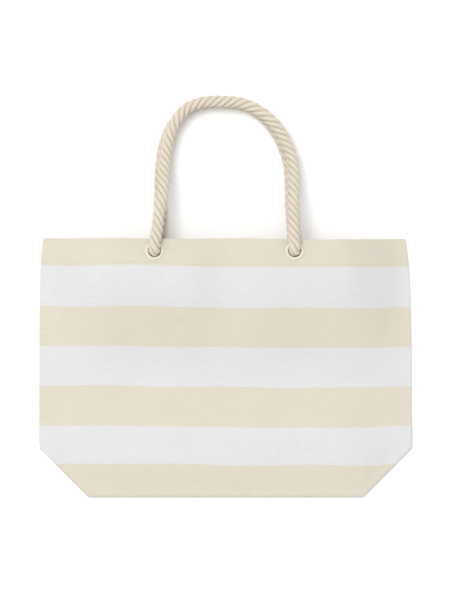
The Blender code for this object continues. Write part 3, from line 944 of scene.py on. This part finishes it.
def addHemStitches(face):
    # one bar for each stitch, a pitch apart along the hem's seam, leaning with the cloth under it
    inward, heights = -outwardOf[face], faceShapes[face]
    y = rimY - panel["hemSeam"] - 0.0010
    reach = float(halfWidthAt(y)) - 0.003
    xs = np.arange(-reach, reach, stitch["pitch"])
    rng = np.random.default_rng(3)
    follow = rimShift(xs) * math.exp(-panel["hemSeam"] / 0.03) + skewShift(xs, y)
    ys = y + rng.normal(0.0, stitch["wander"], len(xs)) + follow
    z = heights(xs, ys) + inward * (panel["pucker"] + stitch["sink"])
    slope = (heights(xs + 0.001, ys) - heights(xs - 0.001, ys)) / 0.002
    bar, quads, lowEnd, highEnd = capsule()
    lean = slope[:, None] * bar[:, 0]
    points = np.stack([xs[:, None] + bar[:, 0], ys[:, None] + bar[:, 1], z[:, None] + bar[:, 2] + lean],
                      axis=-1)
    every = (np.arange(len(xs)) * len(bar))[:, None, None]
    quads = (quads[None] + every).reshape(-1, 4)[:, ::-1]
    made = meshFrom(face + "_hem_stitches", points.reshape(-1, 3), quads)
    corners = range(1, stitch["sides"] - 1)
    fan = np.array([[lowEnd[0], lowEnd[i], lowEnd[i + 1]] for i in corners]
                   + [[highEnd[0], highEnd[i + 1], highEnd[i]] for i in corners])
    addFaces(made, (fan[None] + every).reshape(-1, 3)[:, ::-1])
    dress(made, threadFinish, "bag")


for face in ("front", "back"):
    addHemStitches(face)
print("hems stitched")


# eyelets: radii, and heights over the face of the bag
eyeletShape = {"bore": 0.0089, "barrel": 0.0100, "flange": 0.01375, "top": 0.0020, "lip": 0.0116,
               "lipTop": -0.0039, "lipBottom": -0.0049, "washer": 0.0135, "plate": 0.0009, "steps": 72}


def turned(name, profile, x, faceZ, outward):
    # a closed profile of (radius, height) carried round the eyelet's axis
    a = np.arange(eyeletShape["steps"]) * 2 * np.pi / eyeletShape["steps"]
    r, h = profile[:, 0], profile[:, 1]
    points = np.stack([x + np.outer(np.cos(a), r), eyeletY + np.outer(np.sin(a), r) * outward,
                       faceZ + outward * np.broadcast_to(h, (len(a), len(h)))], axis=-1)
    count = len(profile)
    at = np.arange(len(a) * count).reshape(len(a), count)
    b, c = np.roll(at, -1, axis=0), np.roll(at, -1, axis=1)
    quads = np.stack([at, c, np.roll(c, -1, axis=0), b], axis=-1).reshape(-1, 4)
    return meshFrom(name, points.reshape(-1, 3), quads)


def roundedProfile(corners):
    # each corner of the closed outline becomes a quadratic curve that starts and ends 42% along its sides
    p = np.asarray(corners, float)
    before, after = np.roll(p, 1, axis=0), np.roll(p, -1, axis=0)
    t = np.linspace(0.0, 1.0, 5)[None, :, None]
    start, end = p + (before - p) * 0.42, p + (after - p) * 0.42
    curve = (1 - t) ** 2 * start[:, None] + 2 * t * (1 - t) * p[:, None] + t**2 * end[:, None]
    return curve.reshape(-1, 2)


def addEyelet(face, side):
    # the ring on the outside and the plate behind the cloth, both turned from rounded outlines
    s = eyeletShape
    x, outward, faceZ = eyelets[face, side][0], outwardOf[face], faceZOf[face]
    # up the bore, over the flange, down the barrel and round the rolled lip
    ring = ((s["bore"], s["lipBottom"] + 0.0006), (s["bore"], 0.0006), (0.0094, 0.0017),
            (0.0110, s["top"] + 0.0002), (0.0127, 0.0017), (s["flange"], 0.0007), (0.01345, 0.0001),
            (s["barrel"], 0.0002), (s["barrel"], s["lipTop"]), (0.0113, s["lipTop"]),
            (s["lip"] + 0.0001, -0.0044), (0.0112, s["lipBottom"]), (0.0096, s["lipBottom"]))
    made = turned(face + "_" + side + "_ring", roundedProfile(ring)[::-1], x, faceZ, outward)
    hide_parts(face + "_" + side + "_eyelet")
    dress(made, lacquerFinish, "bag")
    top, inner = -2 * bag["cloth"] - 0.0008, s["barrel"] + 0.0003
    plate = ((inner, top - s["plate"]), (s["washer"] - 0.0006, top - s["plate"]),
             (s["washer"], top - 0.0004), (s["washer"], top), (inner, top))
    made = turned(face + "_" + side + "_backing", roundedProfile(plate), x, faceZ, outward)
    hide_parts(face + "_" + side + "_washer")
    dress(made, lacquerFinish, "bag")


for face, side in eyelets:
    addEyelet(face, side)
print("eyelets set")


# stopper knots inside the bag; lengths are measured from the eyelet's axis
knot = {"bend": 0.0092, "offset": 0.0290, "loop": 0.0088, "radius": 0.0072, "turns": 1.55, "half": 0.0105,
        "tailFrom": 0.0475, "tail": 0.0575, "step": 0.0016}
whipping = {"turns": 7, "radius": 0.00055, "from": 0.011, "pitch": 0.0011}
knotZ = (frontFaceZ + backFaceZ) / 2


def knotLine(face, side):
    # out of the barrel, a tight quarter turn, a turn and a half wound round, then the tail
    x, outward, faceZ = eyelets[face, side][0], outwardOf[face], faceZOf[face]
    toward = -outward if x > 0 else outward
    bendStart = faceZ + outward * (eyeletShape["lipBottom"] - 0.0004)
    level = bendStart - outward * knot["bend"]
    a = np.linspace(0.0, np.pi / 2, 6)
    d = [np.array([0.0, 0.0]), knot["bend"] * (1 - np.cos(a))]
    up = [faceZ - outward * np.array([0.0015, 0.0035]), bendStart - outward * knot["bend"] * np.sin(a)]
    off = [np.zeros(2), np.zeros(6)]
    t = np.linspace(0.0, 1.0, 26)
    grow = ease(t / 0.18) * ease((1 - t) / 0.18)
    wind = 2 * np.pi * knot["turns"] * t + np.pi / 2
    d.append(knot["offset"] + knot["half"] * (1.5 * t - 0.75) * (1.0 + 0.25 * np.cos(wind)))
    settle = ease(t / 0.3)
    off.append(knot["loop"] * grow * np.cos(wind))
    up.append(level + (knotZ - level) * settle + outward * knot["loop"] * grow * np.sin(wind))
    d.append(np.array([knot["tailFrom"], knot["tail"]]))
    off.append(np.zeros(2))
    up.append(np.full(2, knotZ))
    d, off, up = np.concatenate(d), np.concatenate(off), np.concatenate(up)
    return smoothLine(np.stack([x + toward * d, eyeletY + off, up], axis=1), knot["step"])


def tube(name, line, radius, sides=8):
    # a plain round tube carried along the line, with flat ends
    across, other = carriedFrames(line, (0.0, 1.0, 0.3))
    a = np.arange(sides) * 2 * np.pi / sides
    points = (line[:, None] + radius * (np.cos(a)[None, :, None] * across[:, None]
                                        + np.sin(a)[None, :, None] * other[:, None])).reshape(-1, 3)
    rows = len(line)
    made = meshFrom(name, points, quadGrid(rows, sides, wrap=True)[:, ::-1])
    last = (rows - 1) * sides
    corners = range(1, sides - 1)
    fan = [[0, i, i + 1] for i in corners] + [[last, last + i + 1, last + i] for i in corners]
    addFaces(made, np.array(fan)[:, ::-1])
    return made


def addWhipping(face, side, line, along):
    # thread wound round the tail as one close helix
    start = along[-1] - whipping["from"]
    t = np.linspace(0.0, 1.0, whipping["turns"] * 20)
    s = start + t * whipping["turns"] * whipping["pitch"]
    center = np.stack([np.interp(s, along, line[:, k]) for k in range(3)], axis=1)
    direction = unit(line[-1] - line[-6])
    across = unit(np.cross(direction, (0.0, 0.0, 1.0)))
    other = np.cross(direction, across)
    a = 2 * np.pi * whipping["turns"] * t
    reach = knot["radius"] + 0.0001
    helix = center + reach * (np.cos(a)[:, None] * across + np.sin(a)[:, None] * other)
    made = tube(face + "_" + side + "_whip", helix, whipping["radius"])
    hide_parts(face + "_" + side + "_whipping")
    dress(made, threadFinish, "bag")


def addKnot(face, side):
    # the same rope along the knot's line, drawn thinner by a smooth step where it is pulled tight
    line, along = knotLine(face, side)
    stub = 0.93 * rope["radius"]
    radius = stub + (knot["radius"] - stub) * ease((along - 0.018) / 0.012)
    made = ropeMesh(face + "_" + side + "_stopper", line, along, radius, first=(0.0, 1.0, 0.0))
    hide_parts(face + "_" + side + "_knot")
    dress(made, ropeFinish, "bag")
    addWhipping(face, side, line, along)


for face, side in eyelets:
    addKnot(face, side)
print("knots tied")


# floor and light
studio = {"floor": 0.93, "floorSize": 6.0, "sky": 0.88, "key": 222.0, "keySize": 3.0,
          "keyPlace": (-1.5, 1.5, 6.35)}


def addLight(name, place, power, size):
    # a round soft box that faces the middle of the bag: tilted off straight down, then turned
    data = bpy.data.lights.new(name, "AREA")
    data.energy, data.size, data.shape = power, size, "DISK"
    made = bpy.data.objects.new(name, data)
    x, y, z = place
    made.location = place
    made.rotation_euler = (math.atan2(math.hypot(x, y), z), 0.0, math.atan2(-x, y) + math.pi)
    bpy.context.scene.collection.objects.link(made)


def addStudio():
    # a pale floor just under the bag, an even white sky and one large key light
    size, below = studio["floorSize"], -0.0004
    corners = [(-size, -size, below), (size, -size, below), (size, size, below), (-size, size, below)]
    floor = meshFrom("floor", np.array(corners), [[0, 1, 2, 3]])
    pale, _, shader = newMaterial("pale_floor")
    shader["Base Color"].default_value = (studio["floor"],) * 3 + (1.0,)
    shader["Roughness"].default_value = 0.9
    shader["Specular IOR Level"].default_value = 0.1
    floor.data.materials.append(pale)
    floor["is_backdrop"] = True
    world = bpy.data.worlds.new("studio")
    world.use_nodes = True
    background = world.node_tree.nodes["Background"]
    background.inputs["Color"].default_value = (1.0, 1.0, 1.0, 1.0)
    background.inputs["Strength"].default_value = studio["sky"]
    bpy.context.scene.world = world
    addLight("key", studio["keyPlace"], studio["key"], studio["keySize"])
    bpy.context.scene.view_settings.view_transform = "Standard"
    bpy.context.scene.view_settings.look = "None"


addStudio()
print("studio lit")

low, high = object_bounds()
